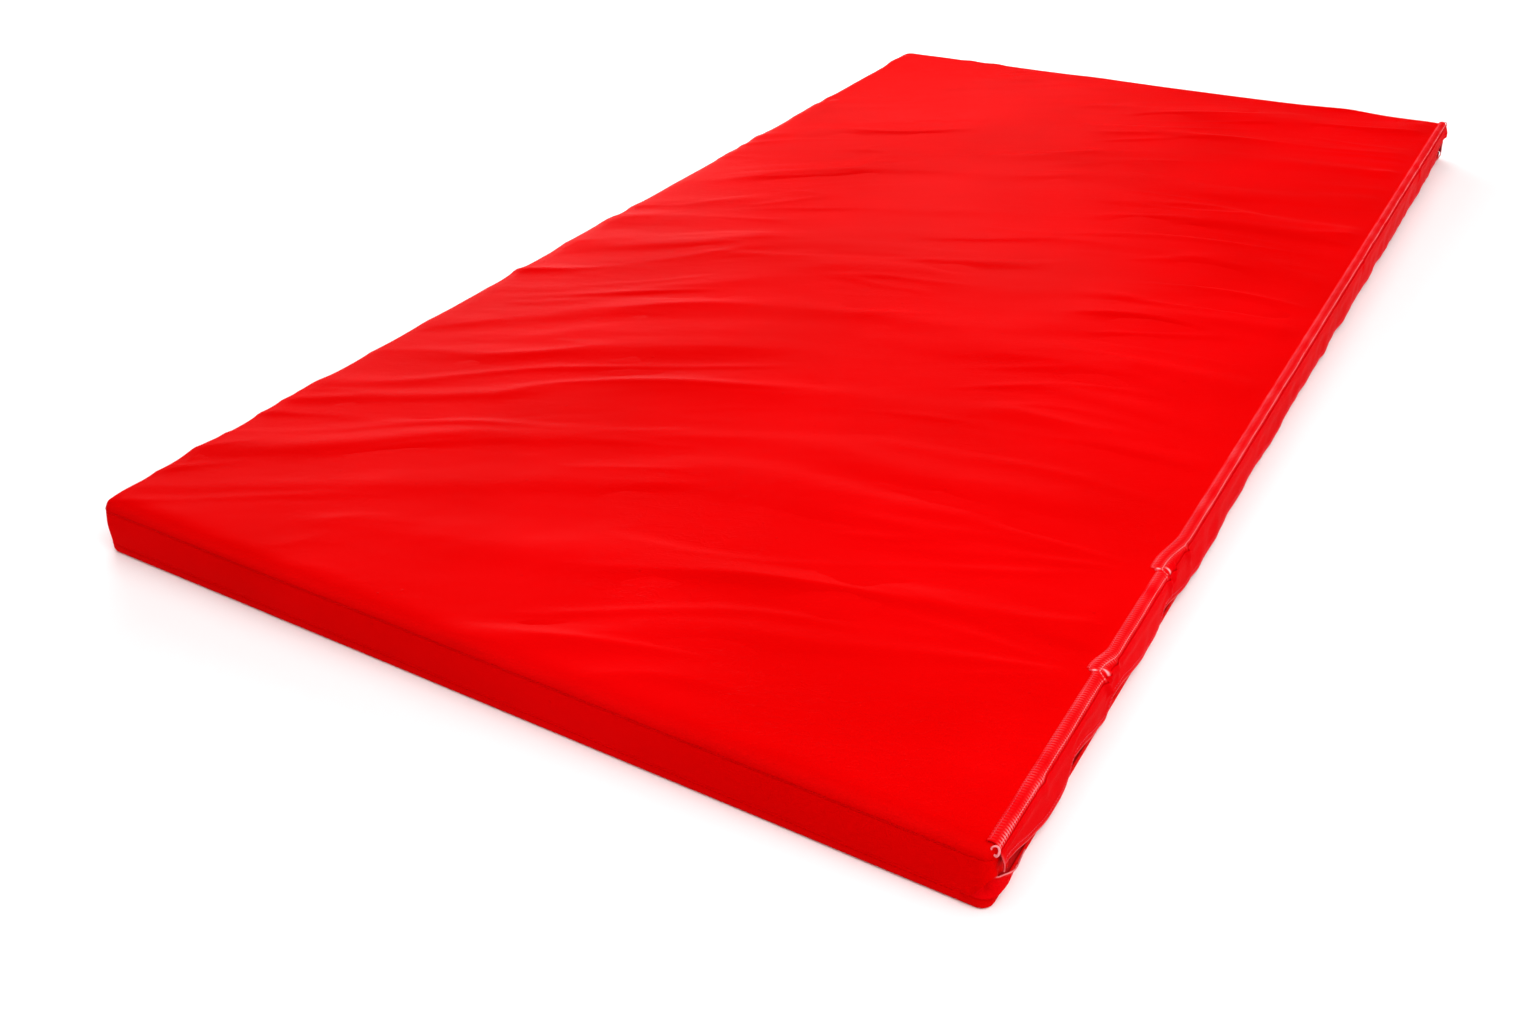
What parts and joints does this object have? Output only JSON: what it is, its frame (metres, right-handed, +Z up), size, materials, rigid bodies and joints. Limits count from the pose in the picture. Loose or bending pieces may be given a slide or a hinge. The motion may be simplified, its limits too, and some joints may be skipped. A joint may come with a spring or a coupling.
{
  "type": "crash landing mat",
  "caption": "Rectangular foam landing mat in a boxed vinyl cover, closed along one long side by a zip under a loose flap.",
  "frame": {"origin": "middle of the underside, on the floor", "axes": "+Z up, Y along the mat's length, +X out of the long side that has the zip and its flap"},
  "size_m": [1.0012, 2.0012, 0.065],
  "materials": {
    "vinyl": "satin",
    "soft_foam": "matte",
    "firm_foam": "matte",
    "zip_tape": "matte",
    "zip_coil": "satin",
    "zip_metal": "satin",
    "thread": "satin"
  },
  "bodies": {
    "mat": {"foam_base_slab": "soft_foam", "foam_top_layer": "firm_foam", "cover_top_panel": "vinyl", "cover_bottom_panel": "vinyl", "cover_front_wall": "vinyl", "cover_rear_wall": "vinyl", "cover_left_wall": "vinyl", "corner_gusset_front": "vinyl", "corner_gusset_rear": "vinyl", "zip_strip_upper": "vinyl", "zip_strip_lower": "vinyl", "flap_seam_band": "vinyl", "zip_tape_upper": "zip_tape", "zip_tape_lower": "zip_tape", "zip_coil_upper": "zip_coil", "zip_coil_lower": "zip_coil", "zip_bottom_stop": "zip_metal", "zip_top_stops": "zip_metal", "flap_thread_outer": "thread", "flap_thread_inner": "thread", "top_seam_thread": "thread", "bottom_seam_thread": "thread", "zip_thread_upper": "thread", "zip_thread_lower": "thread"},
    "flap": {"zip_flap": "vinyl", "flap_hem": "vinyl", "flap_hem_thread": "thread"},
    "slider": {"zip_slider_body": "zip_metal", "zip_tab_pin": "zip_metal"},
    "pull_tab": {"zip_pull_tab": "zip_metal"}
  },
  "joints": [
    {"name": "flap_lift", "type": "hinge", "parent": "mat", "child": "flap", "pos_m": [0.4996, 0, 0.0565], "axis": [0, -1, 0], "range_deg": [0, 170]},
    {"name": "slider_travel", "type": "slide", "parent": "mat", "child": "slider", "axis": [0, -1, 0], "range_m": [0, 1.78]},
    {"name": "pull_tab_swing", "type": "hinge", "parent": "slider", "child": "pull_tab", "pos_m": [0.4912, 0.894, 0.03], "axis": [0, 0, 1], "range_deg": [0, 16]}
  ]
}
